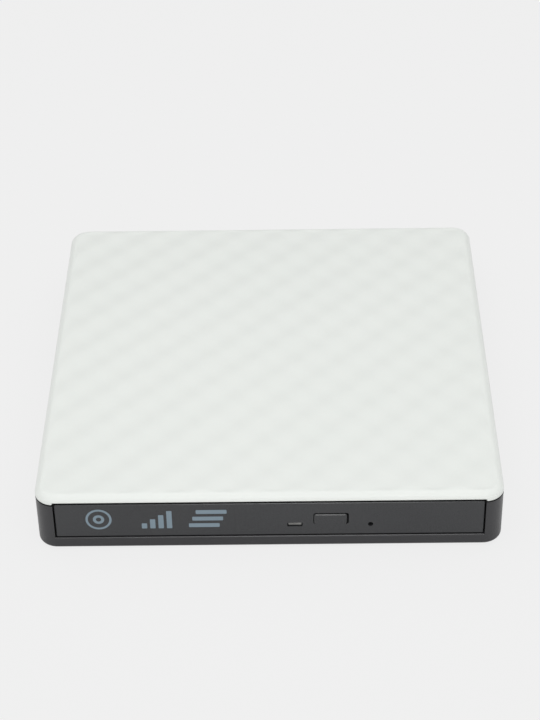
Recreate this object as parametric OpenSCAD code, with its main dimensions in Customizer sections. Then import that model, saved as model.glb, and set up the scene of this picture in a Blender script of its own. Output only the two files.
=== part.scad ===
// External optical disc drive: a slim tray drive inside a two-part case with a quilted lid.
// Millimetres. +Z is up, the tray opens towards -Y, and z = 0 is the plane of the feet.

/* [Drive] */
// width of the slim drive and of its bezel
drive_w = 128; // [127:0.5:132]
// depth of the drive body behind the bezel
drive_d = 126; // [125:0.5:132]
// height of the drive body
drive_h = 12.7; // [12.5:0.1:14]
// thickness of the tray bezel
bezel_t = 3; // [2.6:0.1:4]
// corner radius of the bezel
bezel_r = 0.4; // [0.4:0.1:2]
// gap between the bezel and the case
bezel_gap = 0.45; // [0.3:0.05:0.8]
// how far the bezel lies behind the case front
bezel_recess = 0.2; // [0:0.1:1]
// sheet thickness of the drive housing
sheet_t = 0.5; // [0.4:0.05:0.6]

/* [Case] */
// space between the drive and the outer side of the case
side_margin = 6; // [5.5:0.5:12]
// space behind the drive for the bridge board
rear_bay = 14; // [13.5:0.5:30]
// wall thickness of the case
wall = 1.8; // [1.6:0.1:2.2]
// floor thickness of the case
floor_t = 1.8; // [1.6:0.1:3]
// height of the ribs that carry the drive
rib_h = 2.7; // [2.4:0.1:6]
// plan radius of the case corners
corner_r = 6; // [5:0.5:8]
// rounding of the lower edge
base_round = 1.3; // [0.8:0.1:3]
// open seam between case and lid
seam = 0.45; // [0.2:0.05:0.6]

/* [Lid] */
// thickness of the lid top
lid_t = 1.6; // [1.4:0.1:3]
// space between the drive and the lid
lid_clear = 1.3; // [1:0.1:3]
// rounding of the lid edge
lid_round = 2.6; // [1:0.1:2.8]
// half height of the quilt relief
quilt_amp = 0.2; // [0.05:0.05:0.3]
// spacing of the first family of quilt lines
quilt_pitch_a = 11; // [8:0.05:20]
// spacing of the second family of quilt lines
quilt_pitch_b = 9.05; // [8:0.05:20]

/* [Feet] */
// radius of a rubber foot
foot_r = 4.5; // [3.5:0.1:5]
// height of a foot below the case
foot_h = 0.7; // [0.5:0.1:3]
// depth of the foot in its recess
foot_sink = 0.7; // [0.4:0.1:0.9]

/* [Front] */
// width of the eject button
button_w = 9.9; // [7:0.1:11]
// height of the eject button
button_h = 3.6; // [2.5:0.1:3.8]
// travel of the eject button
button_travel = 0.8; // [0.4:0.1:0.8]
// slot around the button
button_gap = 0.3; // [0.2:0.05:0.4]
// width of the activity lens
lens_bar_w = 4.4; // [3:0.1:5]
// height of the activity lens
lens_bar_h = 1.4; // [1:0.1:1.8]
// radius of the emergency hole
pin_hole_r = 0.75; // [0.5:0.05:1]

/* [Disc] */
// radius of the hub that centres a disc
hub_r = 7.45; // [7.3:0.01:7.49]
// radius of the disc well in the tray
well_r = 60.4; // [60.2:0.1:60.8]
// reach of a claw beyond the hub
claw_reach = 0.45; // [0.2:0.05:0.6]
// travel of the pickup along its rods
pickup_travel = 34; // [28:0.5:34]

/* [Hidden] */
$fn = 48;
eps = 0.02;

// overall sizes of the case
case_w = drive_w + 2 * side_margin;
case_d = bezel_recess + bezel_t + drive_d + rear_bay + wall;
floor_z = foot_h + floor_t;
drive_z = floor_z + rib_h;
drive_top = drive_z + drive_h;
ceiling_z = drive_top + lid_clear;
top_z = ceiling_z + lid_t + quilt_amp;
part_z = drive_top - 0.6;
lid_low = part_z + seam;
notch_z = drive_top + 0.48;
front_y = -case_d / 2;
rear_in = case_d / 2 - wall;
side_in = case_w / 2 - wall;
drive_y = front_y + bezel_recess + bezel_t;
drive_rear = drive_y + drive_d;
half_drive = drive_w / 2;
bezel_z = 0.1;
bezel_top = drive_h - 0.24;
lip_z = drive_z + bezel_z - bezel_gap;
lip_chamfer = [0.22, 0.19];
quilt_share = 0.64;

// fits
fit_slide = 0.2;
fit_run = 0.03;
fit_thread = 0.02;

// shallow bare panel under the case
panel_w = 74;
panel_d = 44;
panel_y = 3;
panel_sink = 0.25;

// feet and lid screws
foot_x = side_in - 7.2;
foot_front = front_y + 8;
foot_rear = rear_in - 6.2;
feet_at = [[foot_x, foot_front], [-foot_x, foot_front], [foot_x, foot_rear], [-foot_x, foot_rear]];
lid_screws_at = [[foot_x, foot_rear], [-foot_x, foot_rear]];
screw_r = 1.2;
screw_head_r = 2.2;
screw_seat_z = floor_z + 2;
column_z = screw_seat_z + 4.5;

// levels inside the drive, above its lower face
tray_low = 1.4;
tray_cover_t = 0.4;
tray_in = tray_low + tray_cover_t;
tray_floor = 6.3;
well_floor = 7.3;
tray_rim = 9.4;
disc_seat = 8.1;
disc_t = 1.2;
hub_top = 10.5;
frame_low = 2.8;
frame_top = 3.6;
axis_z = 4.3;
cover_low = 5.8;
cover_top = 6.2;

// plan of the drive, from the front centre of its body
half_tray = half_drive - 4;
tray_d = drive_d - 10;
hub_y = well_r + 1.6;
skirt_t = 1.2;
rail_y = 3.3;
rail_len = tray_d - 6.3;
rail_low = 3.8;
rail_top = drive_h - 1.9;

// bezel features
led_x = 7.6;
led_z = 3.98;
button_x = 18.4;
button_z = 6.25;
pin_hole_x = 30.2;
pin_hole_z = 3.9;

// far end of the traverse, which clears the side wall and the front wall of the tray
traverse_side_gap = 0.46;
traverse_front_gap = 1.4;
traverse_side = 15.5;
traverse_front = 17;
traverse_end = min(sqrt(2) * (half_tray - skirt_t - traverse_side_gap) - traverse_side,
  sqrt(2) * (hub_y - skirt_t - traverse_front_gap) - traverse_front);

// pickup travel and feed screw
pickup_x = 23;
feed_y = -19.5;
feed_pitch = 4;
main_rod_y = -14.5;
aux_rod_y = 14;
dampers_at = [[-15.3, 13], [-15, -17.5], [36, 21.7], [38, -26.8]];

// latch and ejector
post_x = half_tray - 15.8;
post_y = 13;
latch_x = post_x + 4.8;
latch_y = post_y + 16.3;
latch_open = 12;
eject_x = half_tray - 7;
eject_y = tray_d - 22;
eject_z = 4.1;
spring_len = 6;
spring_turns = 5;
spring_wire = 0.5;

// plugs and boards at the rear
plug_x0 = -30;
plug_x1 = 4;
board_low = 1.4;
board_t = 1.2;
bridge_y = drive_rear + 1.9;
bridge_d = 11;
usb_x = 22;
usb_w = 8.94;
usb_h = 3.26;
usb_len = 7.35;

// shared shapes
module block(x0, x1, y0, y1, z0, z1) {
  translate([x0, y0, z0]) cube([x1 - x0, y1 - y0, z1 - z0]);
}

module post(x, y, r, z0, z1) {
  translate([x, y, z0]) cylinder(r = r, h = z1 - z0);
}

module bar_x(x0, x1, y, z, r) {
  translate([x0, y, z]) rotate([0, 90, 0]) cylinder(r = r, h = x1 - x0);
}

module bar_y(x, y0, y1, z, r) {
  translate([x, y0, z]) rotate([-90, 0, 0]) cylinder(r = r, h = y1 - y0);
}

module both_sides() {
  children();
  mirror([1, 0, 0]) children();
}

module in_drive() {
  translate([0, drive_y, drive_z]) children();
}

module in_traverse() {
  in_drive() translate([0, hub_y, 0]) rotate(225) children();
}

module plate(points, z0, z1) {
  translate([0, 0, z0]) linear_extrude(height = z1 - z0) polygon(points);
}

// rounded plan of the case, moved in by a distance
function quarter(cx, cy, r, a) = [for (i = [0:7.5:90]) [cx + r * cos(a + i), cy + r * sin(a + i)]];

function plan(in, w = case_w, d = case_d, cr = corner_r) = let (r = max(cr - in, 0.4), x = w / 2 - in - r,
  y = d / 2 - in - r) concat(quarter(x, y, r, 0), quarter(-x, y, r, 90), quarter(-x, -y, r, 180),
  quarter(x, -y, r, 270));

// solid through a stack of closed rings of equal length
module loft(rings) {
  m = len(rings[0]);
  n = len(rings);
  polyhedron(points = [for (ring = rings) for (p = ring) p], faces = concat(
    [[for (i = [0:m - 1]) i]],
    [for (k = [0:n - 2]) for (i = [0:m - 1]) let (j = (i + 1) % m)
      [k * m + i, (k + 1) * m + i, (k + 1) * m + j, k * m + j]],
    [[for (i = [m - 1:-1:0]) (n - 1) * m + i]]));
}

// same, with every side face cut into triangles for twisted rings
module tube(rings) {
  m = len(rings[0]);
  n = len(rings);
  polyhedron(points = [for (ring = rings) for (p = ring) p], faces = concat(
    [[for (i = [0:m - 1]) i]],
    [for (k = [0:n - 2]) for (i = [0:m - 1]) [k * m + i, (k + 1) * m + i, (k + 1) * m + (i + 1) % m]],
    [for (k = [0:n - 2]) for (i = [0:m - 1]) [k * m + i, (k + 1) * m + (i + 1) % m, k * m + (i + 1) % m]],
    [[for (i = [m - 1:-1:0]) (n - 1) * m + i]]));
}

function ring_at(in, z) = [for (p = plan(in)) [p[0], p[1], z]];

// relief of the lid: two families of waves crossing at right angles, along the diagonals
function wave(x, y) = quilt_share * cos(360 * (x * cos(44.2) - y * sin(44.2)) / quilt_pitch_a - 35)
  + (1 - quilt_share) * cos(360 * (x * cos(44.4) + y * sin(44.4)) / quilt_pitch_b - 15);

module quilt_cutter() {
  nx = 30;
  ny = 31;
  gx = case_w / 2 - lid_round - 0.8;
  gy = case_d / 2 - lid_round - 0.8;
  w = nx + 1;
  lift = top_z + 0.05;
  sheet = [for (j = [0:ny]) for (i = [0:nx]) let (x = gx * (2 * i / nx - 1), y = gy * (2 * j / ny - 1),
    rim = (i == 0 || i == nx || j == 0 || j == ny))
    [x, y, rim ? lift : top_z - 0.01 - quilt_amp * (1 - wave(x, y))]];
  caps = [[-gx, -gy, top_z + 2], [gx, -gy, top_z + 2], [gx, gy, top_z + 2], [-gx, gy, top_z + 2]];
  c = w * (ny + 1);
  polyhedron(points = concat(sheet, caps), faces = concat(
    [for (j = [0:ny - 1]) for (i = [0:nx - 1]) [j * w + i, j * w + i + 1, (j + 1) * w + i]],
    [for (j = [0:ny - 1]) for (i = [0:nx - 1]) [j * w + i + 1, (j + 1) * w + i + 1, (j + 1) * w + i]],
    [concat([c, c + 1], [for (i = [nx:-1:0]) i])],
    [concat([c + 1, c + 2], [for (j = [ny:-1:0]) j * w + nx])],
    [concat([c + 2, c + 3], [for (i = [0:nx]) ny * w + i])],
    [concat([c + 3, c], [for (j = [0:ny]) j * w])],
    [[c + 3, c + 2, c + 1, c]]));
}

// case
module bottom_case() {
  color([0.24, 0.24, 0.25]) difference() {
    union() {
      difference() {
        loft(concat([for (a = [0:10:90]) ring_at(base_round * (1 - sin(a)), foot_h + base_round * (1 - cos(a)))],
          [ring_at(0, part_z)]));
        plate(plan(wall), floor_z, part_z + 1);
      }
      for (x = [-0.78, -0.32, 0.32, 0.78])
        block(x * half_drive - 0.8, x * half_drive + 0.8, drive_y + 3, drive_rear - 3, floor_z - eps, drive_z);
      both_sides() {
        for (y = [0.08, 0.36, 0.64, 0.92])
          block(half_drive + fit_slide, side_in + eps, drive_y + drive_d * y - 0.8, drive_y + drive_d * y + 0.8,
            floor_z - eps, part_z - 2.1);
        block(half_drive - 14, half_drive - 10, drive_rear + fit_slide, drive_rear + fit_slide + 1.5,
          floor_z - eps, drive_z + 9);
      }
      for (p = lid_screws_at) post(p[0], p[1], 3.4, floor_z - eps, column_z);
      for (p = board_screws_at()) post(p[0], p[1], 2.5, floor_z - eps, drive_z + board_low);
    }
    block(-half_drive - bezel_gap, half_drive + bezel_gap, front_y - 1, front_y + wall + eps,
      lip_z, part_z + 1);
    rotate([90, 0, 90]) linear_extrude(height = 2 * (half_drive + bezel_gap), center = true)
      polygon([[front_y - lip_chamfer[1], lip_z - 2 * lip_chamfer[0]], [front_y + 2 * lip_chamfer[1],
        lip_z + lip_chamfer[0]], [front_y - lip_chamfer[1], lip_z + lip_chamfer[0]]]);
    translate([0, panel_y, 0]) plate(plan(0, panel_w, panel_d, 3), foot_h - 1, foot_h + panel_sink);
    for (p = feet_at) post(p[0], p[1], foot_r, foot_h - 1, foot_h + foot_sink);
    for (p = lid_screws_at) {
      post(p[0], p[1], screw_head_r + 0.2, foot_h - 1, screw_seat_z);
      post(p[0], p[1], screw_r + 0.2, screw_seat_z - eps, column_z + 1);
    }
    for (p = board_screws_at()) post(p[0], p[1], 1 + fit_thread, floor_z + 0.5, drive_z + board_low + 1);
    block(usb_x - usb_w / 2 - 0.15, usb_x + usb_w / 2 + 0.15, rear_in - eps, case_d / 2 + 1,
      usb_z() - 0.15, usb_z() + usb_h + 0.15);
    both_sides() block(side_in - eps, side_in + 0.9, -6.2, 6.2, part_z - 1.8, part_z - 0.5);
  }
}

module lip(in0, in1, z0, z1) {
  difference() {
    plate(plan(in0), z0, z1);
    plate(plan(in1), z0 - 1, z1 + 1);
  }
}

module top_cover() {
  color([0.9, 0.92, 0.9]) difference() {
    union() {
      difference() {
        loft(concat([ring_at(0, lid_low)],
          [for (a = [0:15:90]) ring_at(lid_round * (1 - cos(a)), top_z - lid_round * (1 - sin(a)))]));
        plate(plan(wall), lid_low - 1, ceiling_z);
        quilt_cutter();
      }
      difference() {
        union() {
          lip(wall - 0.1, wall + 1.4, lid_low, ceiling_z + eps);
          lip(wall + fit_slide, wall + 1.4, part_z - 2, lid_low + eps);
        }
        block(-side_in + 1.4, side_in - 1.4, front_y - 1, front_y + 8, part_z - 3, notch_z);
      }
      both_sides() {
        block(side_in - fit_slide - eps, side_in + 0.6, -6, 6, part_z - 1.6, part_z - 0.7);
        block(29.2, 30.8, drive_y + 14, drive_rear - 14, drive_top, ceiling_z + eps);
      }
      for (p = lid_screws_at) post(p[0], p[1], 3.2, column_z + fit_slide, ceiling_z + eps);
    }
    block(-half_drive - bezel_gap - 0.4, half_drive + bezel_gap + 0.4, front_y - 1, front_y + 8, lid_low - 1,
      notch_z);
    for (p = lid_screws_at) post(p[0], p[1], screw_r + fit_thread, column_z - 1, ceiling_z - 1);
  }
}

module rubber_feet() {
  color([0.12, 0.12, 0.12]) for (p = feet_at) {
    post(p[0], p[1], foot_r, 0.3, foot_h + foot_sink);
    translate([p[0], p[1], 0]) cylinder(r1 = foot_r - 0.3, r2 = foot_r, h = 0.3);
  }
}

module case_screws() {
  color([0.6, 0.6, 0.62]) for (p = lid_screws_at) difference() {
    union() {
      post(p[0], p[1], screw_head_r, screw_seat_z - 1.6, screw_seat_z);
      post(p[0], p[1], screw_r, screw_seat_z - eps, ceiling_z - 2);
    }
    for (a = [0, 90]) translate([p[0], p[1], screw_seat_z - 1.6]) rotate(a)
      cube([2.4, 0.5, 1.4], center = true);
  }
}

// boards and sockets behind the drive
function board_screws_at() = [[-33, bridge_y + 8], [10, bridge_y + 8]];
function board_top() = drive_z + board_low + board_t;
function usb_z() = board_top();

module bridge_board() {
  color([0.1, 0.33, 0.2]) difference() {
    block(-38, 30, bridge_y, bridge_y + bridge_d, board_top() - board_t, board_top());
    for (p = board_screws_at()) post(p[0], p[1], 1.2, 0, board_top() + 1);
  }
}

module bridge_board_chips() {
  color([0.08, 0.08, 0.09]) {
    block(11.5, 17, bridge_y + 1, bridge_y + 6.5, board_top(), board_top() + 0.9);
    block(-24, -20.8, bridge_y + 6.2, bridge_y + 8.7, board_top(), board_top() + 0.8);
    block(-12, -9.5, bridge_y + 6.4, bridge_y + 8, board_top(), board_top() + 1);
    block(-2, 0.5, bridge_y + 6.4, bridge_y + 8, board_top(), board_top() + 1);
  }
}

module board_screws() {
  color([0.6, 0.6, 0.62]) for (p = board_screws_at()) difference() {
    union() {
      post(p[0], p[1], 1.9, board_top(), board_top() + 1);
      post(p[0], p[1], 1, floor_z + 1, board_top() + eps);
    }
    translate([p[0], p[1], board_top() + 1]) cube([2.2, 0.5, 1], center = true);
  }
}

module sata_socket() {
  color([0.13, 0.13, 0.14]) in_drive() difference() {
    union() {
      block(plug_x0 + 0.5, plug_x1 - 0.5, drive_d, drive_d + 4.4, board_low + board_t, 7.2);
      block(plug_x0 + 1.1, plug_x1 - 1.1, drive_d - 5.7, drive_d + eps, 3.3, 6.5);
    }
    block(plug_x0 + 1.8, plug_x1 - 1.8, drive_d - 6, drive_d - 0.4, 4.25, 5.75);
  }
}

module usb_shell() {
  color([0.72, 0.72, 0.74]) translate([usb_x, case_d / 2 - usb_len, usb_z() + usb_h / 2]) difference() {
    rotate([-90, 0, 0]) linear_extrude(height = usb_len) polygon(plan(0, usb_w, usb_h, 1.4));
    translate([0, 0.4, 0]) rotate([-90, 0, 0]) linear_extrude(height = usb_len)
      polygon(plan(0.3, usb_w, usb_h, 1.4));
  }
}

module usb_tongue() {
  color([0.1, 0.1, 0.1]) translate([usb_x, case_d / 2 - usb_len + 0.4, usb_z() + usb_h / 2]) {
    block(-3.3, 3.3, 0, 6, -0.35, 0.35);
    block(-3.9, 3.9, 0, 1.2, -0.95, 0.95);
  }
}

// drive housing
module drive_pan() {
  color([0.7, 0.7, 0.71]) in_drive() difference() {
    union() {
      difference() {
        block(-half_drive, half_drive, 0.4, drive_d, 0, drive_h - sheet_t);
        block(-half_drive + sheet_t, half_drive - sheet_t, -1, drive_d - sheet_t, sheet_t, drive_h);
      }
      both_sides() for (y = [4, drive_d - 10])
        block(half_drive - 5.5, half_drive - sheet_t + eps, y, y + 6, drive_h - sheet_t - 0.8, drive_h - sheet_t);
      for (x = [-44, 40]) post(x, drive_d - 4, 1.5, sheet_t - eps, 1.6);
      block(eject_x - 3, eject_x + 3, tray_d + 1.2, tray_d + 1.9, sheet_t - eps, 6);
    }
    block(plug_x0 - 0.3, plug_x1 + 0.3, drive_d - 1, drive_d + 1, 2.2, 7.7);
    for (p = drive_screws_at()) post(p[0], p[1], 0.9 + fit_thread, 6, drive_h);
  }
}

function drive_screws_at() = [for (x = [-1, 1]) for (y = [7, drive_d - 7]) [x * (half_drive - 3.2), y]];

module drive_top_plate() {
  color([0.74, 0.74, 0.75]) in_drive() difference() {
    block(-half_drive, half_drive, 0.4, drive_d, drive_h - sheet_t, drive_h);
    for (p = drive_screws_at()) post(p[0], p[1], 1.1, drive_h - 2, drive_h + 1);
    difference() {
      post(0, hub_y, 46, drive_h - 0.15, drive_h + 1);
      post(0, hub_y, 44, drive_h - 1, drive_h + 2);
    }
  }
}

module drive_screws() {
  color([0.55, 0.55, 0.57]) in_drive() for (p = drive_screws_at()) difference() {
    union() {
      post(p[0], p[1], 1.7, drive_h, drive_h + 0.5);
      post(p[0], p[1], 0.9, drive_h - sheet_t - 0.8, drive_h + eps);
    }
    translate([p[0], p[1], drive_h + 0.5]) cube([2, 0.4, 0.5], center = true);
  }
}

module rail_guide() {
  in_drive() {
    block(half_drive - 1.2, half_drive - sheet_t, rail_y, rail_y + rail_len + 6, rail_low, rail_top);
    for (z = [rail_low, rail_top - 0.8])
      block(half_drive - 2.8, half_drive - 1.2 + eps, rail_y, rail_y + rail_len + 6, z, z + 0.8);
  }
}

module left_rail_guide() {
  color([0.85, 0.85, 0.82]) mirror([1, 0, 0]) rail_guide();
}

module right_rail_guide() {
  color([0.85, 0.85, 0.82]) rail_guide();
}

module rail() {
  in_drive() {
    block(half_drive - 2.1, half_drive - 1.5, rail_y, rail_y + rail_len, rail_low + 1, rail_top - 1);
    for (z = [rail_low + 1, rail_top - 1.6])
      block(half_drive - 3.8, half_drive - 2.1 + eps, rail_y, rail_y + rail_len, z, z + 0.6);
  }
}

module left_rail() {
  color([0.66, 0.67, 0.69]) mirror([1, 0, 0]) rail();
}

module right_rail() {
  color([0.66, 0.67, 0.69]) rail();
}

module main_board() {
  color([0.1, 0.33, 0.2]) in_drive() block(-50, 46, drive_d - 8.5, drive_d - 0.7, 1.6, 2.4);
}

module main_board_chips() {
  color([0.08, 0.08, 0.09]) in_drive() {
    block(10, 16.5, drive_d - 8, drive_d - 1.5, 2.4, 3.3);
    block(22, 28, drive_d - 7.5, drive_d - 3, 2.4, 3.4);
    block(-44, -37, drive_d - 7.5, drive_d - 2.5, 2.4, 3.3);
    block(-11, 11, drive_d - 8.3, drive_d - 5.3, sheet_t + 0.12, 1.6);
  }
}

module drive_sata_plug() {
  color([0.12, 0.12, 0.13]) in_drive() difference() {
    block(plug_x0, plug_x1, drive_d - 7.4, drive_d, 2.4, 7.4);
    difference() {
      block(plug_x0 + 1, plug_x1 - 1, drive_d - 5.8, drive_d + 1, 3.2, 6.6);
      block(plug_x0 + 2.2, plug_x1 - 2.2, drive_d - 6, drive_d - 0.8, 4.4, 5.6);
    }
  }
}

module latch_post() {
  color([0.75, 0.75, 0.77]) in_drive() {
    post(post_x, post_y, 1, sheet_t, 5.4);
    post(post_x, post_y, 1.7, sheet_t, 0.8);
  }
}

module tray_ribbon() {
  t = 0.12;
  fold = drive_d / 2 - 10;
  low = sheet_t;
  high = 1.24;
  mid = (low + high) / 2;
  ro = (high - low) / 2;
  color([0.78, 0.62, 0.36]) in_drive() translate([10, 0, 0]) rotate([90, 0, -90]) linear_extrude(height = 20)
    polygon(concat([[-(drive_d - 5.5), low]], [for (a = [-90:22.5:90]) [ro * cos(a) - fold, mid + ro * sin(a)]],
      [[-(tray_d - 8), high], [-(tray_d - 8), tray_low], [-(tray_d - 4), tray_low], [-(tray_d - 4), high - t]],
      [for (a = [90:-22.5:-90]) [(ro - t) * cos(a) - fold, mid + (ro - t) * sin(a)]],
      [[-(drive_d - 5.5), low + t]]));
}

// tray and its bezel
module disc_tray() {
  color([0.2, 0.2, 0.21]) {
    difference() {
      in_drive() union() {
        block(-half_tray, half_tray, 0, tray_d, tray_floor, tray_rim);
        both_sides() {
          block(half_tray - eps, half_tray + 1.7, rail_y, tray_d, rail_low + 1.8, rail_top - 1.8);
          block(half_tray - skirt_t, half_tray, 0, tray_d, tray_in, tray_floor + eps);
          for (y = [6, tray_d - 6]) post(half_tray - 3.1, y, 1.6, tray_in, tray_floor + eps);
        }
        block(-half_tray, half_tray, 0, skirt_t, tray_in, tray_floor + eps);
        for (y = [eject_y - 1.2, tray_d - 2.2])
          block(eject_x - 2, eject_x + 2, y, y + 1.5, tray_in + 0.6, tray_floor + eps);
        post(latch_x, latch_y, 2, 3.8, tray_floor + eps);
        post(latch_x, latch_y, 1, tray_in, tray_floor);
      }
      in_drive() {
        post(0, hub_y, well_r, well_floor, tray_rim + 1);
        post(0, hub_y, 40.5, well_floor - 0.4, well_floor + 1);
        post(0, hub_y, 15.2, tray_floor - 1, well_floor + 1);
        both_sides() for (y = [6, tray_d - 6]) post(half_tray - 3.1, y, 0.8 + fit_thread, tray_in - 1, 5.2);
        bar_y(eject_x, eject_y - 2, tray_d + 1, eject_z, 1.05);
        block(button_x - button_w / 2 - 2, button_x + button_w / 2 + 2, -1, button_travel + 0.3,
          button_z - button_h / 2 - 1.3, tray_rim + 1);
        block(button_x - 1.6, button_x + 1.6, -1, 3, 3.4, 5.8);
        block(led_x - lens_bar_w / 2 - 0.9, led_x + lens_bar_w / 2 + 0.9, -1, skirt_t + 1, led_z - 1.7, led_z + 1.7);
        bar_y(pin_hole_x, -1, 4, pin_hole_z, 1.1);
      }
      in_traverse() plate([[-10, -8], [-10, 8], [-2, 16.4], [traverse_end - 3, 16.4], [traverse_end - 2, 15.4],
        [traverse_end - 2, -15], [traverse_end - 8.6, -21.4], [-2, -21.4]], tray_floor - 1, well_floor + 1);
    }
    in_traverse() for (p = dampers_at) difference() {
      post(p[0], p[1], 2.6, 4.8, tray_floor + eps);
      post(p[0], p[1], 0.9 + fit_thread, 4, tray_floor - 0.2);
    }
  }
}

module tray_bezel() {
  w = drive_w;
  h = bezel_top - bezel_z;
  mid = bezel_z + h / 2;
  color([0.27, 0.27, 0.28]) in_drive() difference() {
    translate([0, 0, mid]) rotate([90, 0, 0]) loft([for (s = [[0, 0], [0, bezel_t - 0.5], [0.15, bezel_t - 0.15],
      [0.5, bezel_t]]) [for (p = plan(s[0], w, h, bezel_r)) [p[0], p[1], s[1]]]]);
    block(button_x - button_w / 2 - button_gap, button_x + button_w / 2 + button_gap, -bezel_t - 1, 1,
      button_z - button_h / 2 - button_gap, button_z + button_h / 2 + button_gap);
    block(button_x - button_w / 2 - 1.6, button_x + button_w / 2 + 1.6, -1.1, 1, button_z - button_h / 2 - 1.1,
      button_z + button_h / 2 + 1.1);
    block(led_x - lens_bar_w / 2 - 0.03, led_x + lens_bar_w / 2 + 0.03, -bezel_t - 1, 1,
      led_z - lens_bar_h / 2 - 0.03, led_z + lens_bar_h / 2 + 0.03);
    block(led_x - lens_bar_w / 2 - 0.6, led_x + lens_bar_w / 2 + 0.6, -0.6, 1, led_z - lens_bar_h / 2 - 0.5,
      led_z + lens_bar_h / 2 + 0.5);
    bar_y(pin_hole_x, -bezel_t - 1, 1, pin_hole_z, pin_hole_r);
  }
}

module activity_lens() {
  color([0.8, 0.82, 0.84]) in_drive() {
    block(led_x - lens_bar_w / 2, led_x + lens_bar_w / 2, 0.1 - bezel_t, 0.9, led_z - lens_bar_h / 2,
      led_z + lens_bar_h / 2);
    block(led_x - lens_bar_w / 2 - 0.5, led_x + lens_bar_w / 2 + 0.5, -0.6, 0, led_z - lens_bar_h / 2 - 0.4,
      led_z + lens_bar_h / 2 + 0.4);
  }
}

module eject_button() {
  color([0.26, 0.26, 0.27]) in_drive() {
    block(button_x - button_w / 2, button_x + button_w / 2, -bezel_t - 0.15, -0.4, button_z - button_h / 2,
      button_z + button_h / 2);
    block(button_x - button_w / 2 - 1.3, button_x + button_w / 2 + 1.3, -1.05, -0.15, button_z - button_h / 2 - 0.8,
      button_z + button_h / 2 + 0.8);
    block(button_x - 1, button_x + 1, -0.15 - eps, 1.6 - button_travel, 3.9, 5.3);
  }
}

module front_board() {
  color([0.1, 0.33, 0.2]) in_drive() block(3, 27, 3.1, 3.9, tray_in, 6);
}

module eject_switch() {
  color([0.85, 0.85, 0.85]) in_drive() {
    block(button_x - 2, button_x + 2, 2, 3.1, 3.6, 5.6);
    block(button_x - 0.8, button_x + 0.8, 1.75, 2 + eps, 4.1, 5.1);
  }
}

module status_led() {
  color([0.9, 0.9, 0.85]) in_drive() block(led_x - 1, led_x + 1, 2.1, 3.1, led_z - 0.6, led_z + 0.6);
}

module tray_cover() {
  color([0.68, 0.68, 0.7]) in_drive() difference() {
    block(-half_tray, half_tray, 0.4, tray_d, tray_low, tray_in);
    block(post_x - 2.2, post_x + 2.4, post_y - 1.7, tray_d + 1, tray_low - 1, tray_in + 1);
    both_sides() for (y = [6, tray_d - 6]) post(half_tray - 3.1, y, 1, tray_low - 1, tray_in + 1);
  }
}

module tray_screws() {
  color([0.55, 0.55, 0.57]) in_drive() both_sides() for (y = [6, tray_d - 6]) {
    post(half_tray - 3.1, y, 1.5, tray_low - 0.4, tray_low);
    post(half_tray - 3.1, y, 0.8, tray_low - eps, 5);
  }
}

// traverse: spindle, rods and pickup, on a frame that hangs on rubber dampers
module traverse_frame() {
  color([0.58, 0.59, 0.6]) in_traverse() difference() {
    union() {
      plate([[-20, -18], [-20, 15], [-15, 18.5], [traverse_end - 1.5, 18.5], [traverse_end, traverse_front],
        [traverse_end, -traverse_side], [traverse_end - 8, -traverse_side - 8], [-14, -traverse_side - 8]],
        frame_low, frame_top);
      for (p = [dampers_at[2], dampers_at[3]]) post(p[0], p[1], 4.4, frame_low, frame_top);
      block(31.6, 40.4, 18, 21.7, frame_low, frame_top);
      block(33.6, 42.4, -26.8, -23, frame_low, frame_top);
      for (y = [main_rod_y, aux_rod_y]) for (x = [10.8, traverse_end - 2.2])
        block(x, x + 2.2, y - 1.7, y + 1.7, frame_top - eps, 5.6);
      block(14, 15.2, -22, -17.8, frame_top - eps, 5.6);
      block(traverse_end - 6.8, traverse_end - 5, -20.3, -18.4, frame_top - eps, 5.6);
      block(0, 6, 14.3, 18.2, frame_top - eps, cover_low);
      block(-6, -2, -23, -19, frame_top - eps, cover_low);
      for (y = [6, -11]) block(traverse_end - 2, traverse_end - 0.4, y, y + 5, frame_top - eps, cover_low);
    }
    block(13.2, traverse_end - 2.2, -17.6, 16.6, 0, 5.7 - 2);
    block(15.4, traverse_end - 7, -21.2, -17, 0, 5.7 - 2);
    block(0.6, 14, -22.7, -16.3, 0, 5.7);
    for (p = dampers_at) post(p[0], p[1], 2.05, 0, 5);
    for (y = [main_rod_y, aux_rod_y]) bar_x(10, traverse_end - 1, y, axis_z, 1 + fit_thread);
    bar_x(13, traverse_end - 4, feed_y, axis_z, 0.6 + fit_run);
  }
}

module traverse_dampers() {
  color([0.14, 0.14, 0.14]) in_traverse() for (p = dampers_at) difference() {
    union() {
      post(p[0], p[1], 3.2, frame_low - 0.4, frame_low);
      post(p[0], p[1], 2, frame_low - eps, frame_top + eps);
      post(p[0], p[1], 3.2, frame_top, 4.8);
    }
    post(p[0], p[1], 1, 0, 6);
  }
}

module traverse_screws() {
  color([0.55, 0.55, 0.57]) in_traverse() for (p = dampers_at) {
    post(p[0], p[1], 2, 1.9, frame_low - 0.4);
    post(p[0], p[1], 0.9, frame_low - 0.4 - eps, 5.9);
  }
}

module traverse_cover() {
  color([0.62, 0.63, 0.65]) in_traverse() difference() {
    plate([[-6, -23.1], [-6, 18.2], [traverse_end - 1.8, 18.2], [traverse_end - 0.3, 16.8],
      [traverse_end - 0.3, -15.3], [traverse_end - 8.1, -23.1]], cover_low, cover_top);
    post(0, 0, 12.2, 5, 8);
    block(14, traverse_end - 2.4, -8.2, 8.2, 5, 8);
  }
}

module spindle_base() {
  color([0.5, 0.5, 0.52]) in_traverse() difference() {
    union() {
      post(0, 0, 11, frame_top, axis_z);
      block(-12, 0, -6, 6, frame_top, axis_z);
      post(0, 0, 2.6, axis_z - eps, 6);
    }
    post(0, 0, 1.02, frame_top + 0.2, 7);
  }
}

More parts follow.
